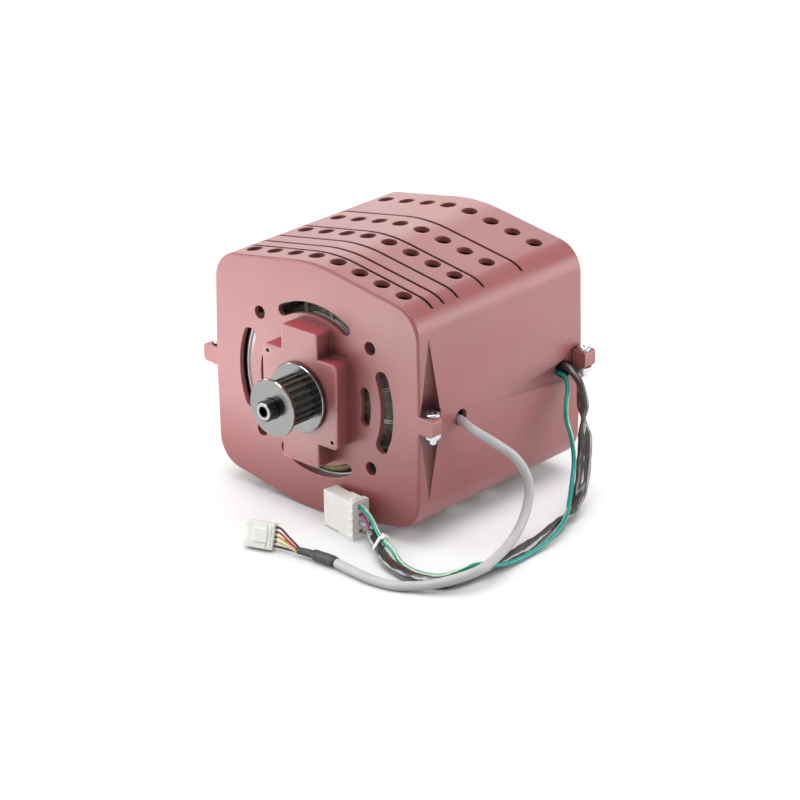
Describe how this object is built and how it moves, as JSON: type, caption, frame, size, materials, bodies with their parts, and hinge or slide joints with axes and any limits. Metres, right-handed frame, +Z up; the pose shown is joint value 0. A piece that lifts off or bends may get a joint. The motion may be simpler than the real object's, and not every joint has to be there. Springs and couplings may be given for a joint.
{
  "type": "elevator door operator",
  "caption": "Elevator door drive motor: split vented housing, bearing boss, toothed belt pulley on the shaft, and free encoder and power cables with connectors.",
  "frame": {"origin": "on the shaft axis, in the plane of the front mounting face", "axes": "+X right seen from the pulley side, +Y to the rear along the shaft, +Z up"},
  "size_m": [0.25, 0.227, 0.1673],
  "materials": {
    "housing": "satin burgundy",
    "fastener": "zinc plated",
    "steel": "bright",
    "lamination": "dull",
    "winding": "black lacquer",
    "magnet": "dull",
    "shaft": "blackened",
    "pulley": "blackened",
    "flange": "turned",
    "hub": "turned",
    "board": "satin",
    "sensor": "matte",
    "disc": "polished",
    "grey_sheath": "matte",
    "black_sheath": "satin",
    "earth": "satin",
    "lead": "satin",
    "connector": "white"
  },
  "bodies": {
    "housing": {"upper_shell": "housing", "lower_shell": "housing", "housing_screws": "fastener", "housing_nuts": "fastener", "stator_can": "steel", "stator_core": "lamination", "phase_windings": "winding", "front_bearing_outer": "steel", "rear_bearing_outer": "steel", "preload_spring": "steel", "encoder_board": "board", "encoder_sensor": "sensor", "encoder_screws": "fastener", "encoder_cable": "grey_sheath", "encoder_heat_shrink": "black_sheath", "encoder_leads": "lead", "encoder_connector": "connector", "power_sleeve": "black_sheath", "earth_wire": "earth", "cable_tie": "connector", "power_leads": "lead", "power_connector": "connector"},
    "rotor": {"motor_shaft": "shaft", "rotor_core": "lamination", "rotor_magnets": "magnet", "drive_pulley": "pulley", "pulley_front_flange": "flange", "pulley_rear_flange": "flange", "pulley_key": "steel", "front_bearing_inner": "steel", "rear_bearing_inner": "steel", "encoder_hub": "hub", "encoder_disc": "disc"},
    "front_balls": {"front_bearing_balls": "steel"},
    "rear_balls": {"rear_bearing_balls": "steel"}
  },
  "joints": [
    {"name": "rotor_spin", "type": "hinge", "parent": "housing", "child": "rotor", "pos_m": [0, 0, 0], "axis": [0, 1, 0], "continuous": true},
    {"name": "front_cage_spin", "type": "hinge", "parent": "housing", "child": "front_balls", "pos_m": [0, 0, 0], "axis": [0, 1, 0], "continuous": true},
    {"name": "rear_cage_spin", "type": "hinge", "parent": "housing", "child": "rear_balls", "pos_m": [0, 0, 0], "axis": [0, 1, 0], "continuous": true}
  ],
  "couplings": [
    {"joint": "front_cage_spin", "follows": "rotor_spin", "ratio": 0.381},
    {"joint": "rear_cage_spin", "follows": "rotor_spin", "ratio": 0.381}
  ]
}
